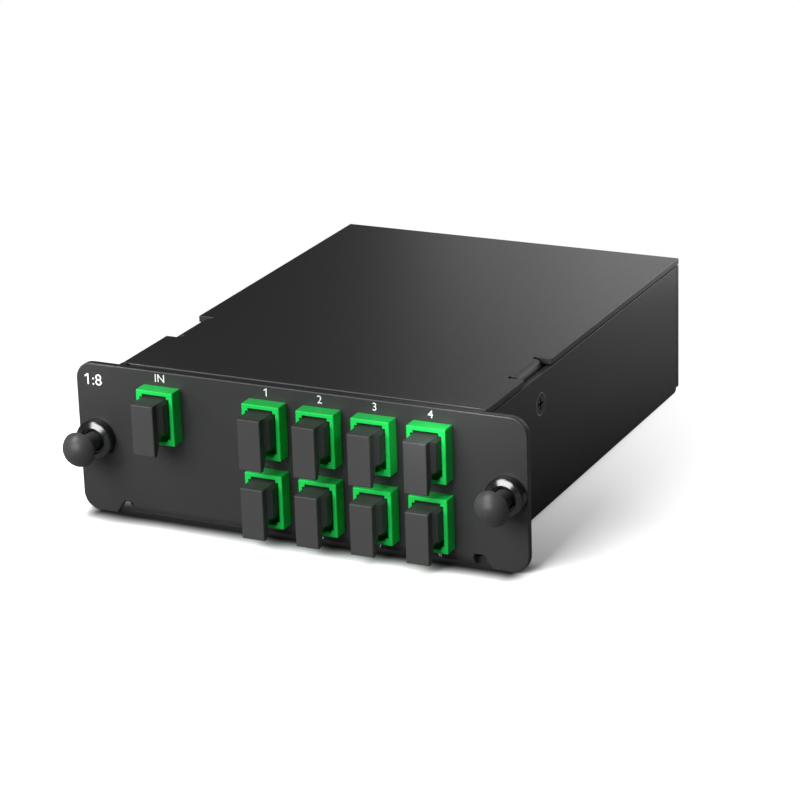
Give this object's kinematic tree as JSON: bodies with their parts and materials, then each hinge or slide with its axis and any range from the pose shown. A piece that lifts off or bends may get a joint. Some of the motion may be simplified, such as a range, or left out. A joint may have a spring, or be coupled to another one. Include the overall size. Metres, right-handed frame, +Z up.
{
  "type": "plc fibre splitter cassette",
  "caption": "Folded black steel optical splitter cassette with green capped adapters on its front panel, push-pull latches in both ears and a screwed cover.",
  "frame": {"origin": "middle of the tray's underside", "axes": "+Y from the front panel to the rear, +Z up, +X to the right seen from the front"},
  "size_m": [0.109, 0.1295, 0.035],
  "materials": {
    "black_powder_coat": "fine satin powder coat",
    "black_screw": "black oxide, satin",
    "black_nylon": "gloss moulded nylon",
    "green_housing": "satin moulded plastic",
    "dark_cap": "soft matt moulded plastic",
    "boot_rubber": "matt",
    "spring_steel": "bright stamped spring steel",
    "white_insert": "matt moulded plastic",
    "ceramic": "polished ceramic",
    "tube_steel": "drawn steel tube",
    "fibre_jacket": "smooth buffered fibre",
    "white_print": "flat white ink"
  },
  "bodies": {
    "cassette": {"tray": "black_powder_coat", "cover": "black_powder_coat", "cover_screws": "black_screw", "latch_grommet_left": "black_nylon", "latch_grommet_right": "black_nylon", "adapter_in": "green_housing", "connector_in": "green_housing", "boot_in": "boot_rubber", "adapter_1": "green_housing", "connector_1": "green_housing", "boot_1": "boot_rubber", "adapter_2": "green_housing", "connector_2": "green_housing", "boot_2": "boot_rubber", "adapter_3": "green_housing", "connector_3": "green_housing", "boot_3": "boot_rubber", "adapter_4": "green_housing", "connector_4": "green_housing", "boot_4": "boot_rubber", "adapter_5": "green_housing", "connector_5": "green_housing", "boot_5": "boot_rubber", "adapter_6": "green_housing", "connector_6": "green_housing", "boot_6": "boot_rubber", "adapter_7": "green_housing", "connector_7": "green_housing", "boot_7": "boot_rubber", "adapter_8": "green_housing", "connector_8": "green_housing", "boot_8": "boot_rubber", "adapter_clips": "spring_steel", "sleeve_holders": "white_insert", "alignment_sleeves": "ceramic", "ferrules": "ceramic", "splitter_tube": "tube_steel", "splitter_boot_out": "boot_rubber", "splitter_boot_in": "boot_rubber", "splitter_clips": "white_insert", "fibre_in": "fibre_jacket", "fibre_1": "fibre_jacket", "fibre_2": "fibre_jacket", "fibre_3": "fibre_jacket", "fibre_4": "fibre_jacket", "fibre_5": "fibre_jacket", "fibre_6": "fibre_jacket", "fibre_7": "fibre_jacket", "fibre_8": "fibre_jacket"},
    "cap_in": {"dust_cap_in": "dark_cap"},
    "cap_1": {"dust_cap_1": "dark_cap"},
    "cap_2": {"dust_cap_2": "dark_cap"},
    "cap_3": {"dust_cap_3": "dark_cap"},
    "cap_4": {"dust_cap_4": "dark_cap"},
    "cap_5": {"dust_cap_5": "dark_cap"},
    "cap_6": {"dust_cap_6": "dark_cap"},
    "cap_7": {"dust_cap_7": "dark_cap"},
    "cap_8": {"dust_cap_8": "dark_cap"},
    "plunger_left": {"latch_plunger_left": "black_nylon"},
    "plunger_right": {"latch_plunger_right": "black_nylon"}
  },
  "joints": [
    {"name": "cap_in_pull", "type": "slide", "parent": "cassette", "child": "cap_in", "axis": [0, -1, 0], "range_m": [0, 0.012]},
    {"name": "cap_1_pull", "type": "slide", "parent": "cassette", "child": "cap_1", "axis": [0, -1, 0], "range_m": [0, 0.012]},
    {"name": "cap_2_pull", "type": "slide", "parent": "cassette", "child": "cap_2", "axis": [0, -1, 0], "range_m": [0, 0.012]},
    {"name": "cap_3_pull", "type": "slide", "parent": "cassette", "child": "cap_3", "axis": [0, -1, 0], "range_m": [0, 0.012]},
    {"name": "cap_4_pull", "type": "slide", "parent": "cassette", "child": "cap_4", "axis": [0, -1, 0], "range_m": [0, 0.012]},
    {"name": "cap_5_pull", "type": "slide", "parent": "cassette", "child": "cap_5", "axis": [0, -1, 0], "range_m": [0, 0.012]},
    {"name": "cap_6_pull", "type": "slide", "parent": "cassette", "child": "cap_6", "axis": [0, -1, 0], "range_m": [0, 0.012]},
    {"name": "cap_7_pull", "type": "slide", "parent": "cassette", "child": "cap_7", "axis": [0, -1, 0], "range_m": [0, 0.012]},
    {"name": "cap_8_pull", "type": "slide", "parent": "cassette", "child": "cap_8", "axis": [0, -1, 0], "range_m": [0, 0.012]},
    {"name": "plunger_left_push", "type": "slide", "parent": "cassette", "child": "plunger_left", "axis": [0, 1, 0], "range_m": [0, 0.0048]},
    {"name": "plunger_right_push", "type": "slide", "parent": "cassette", "child": "plunger_right", "axis": [0, 1, 0], "range_m": [0, 0.0048]}
  ]
}
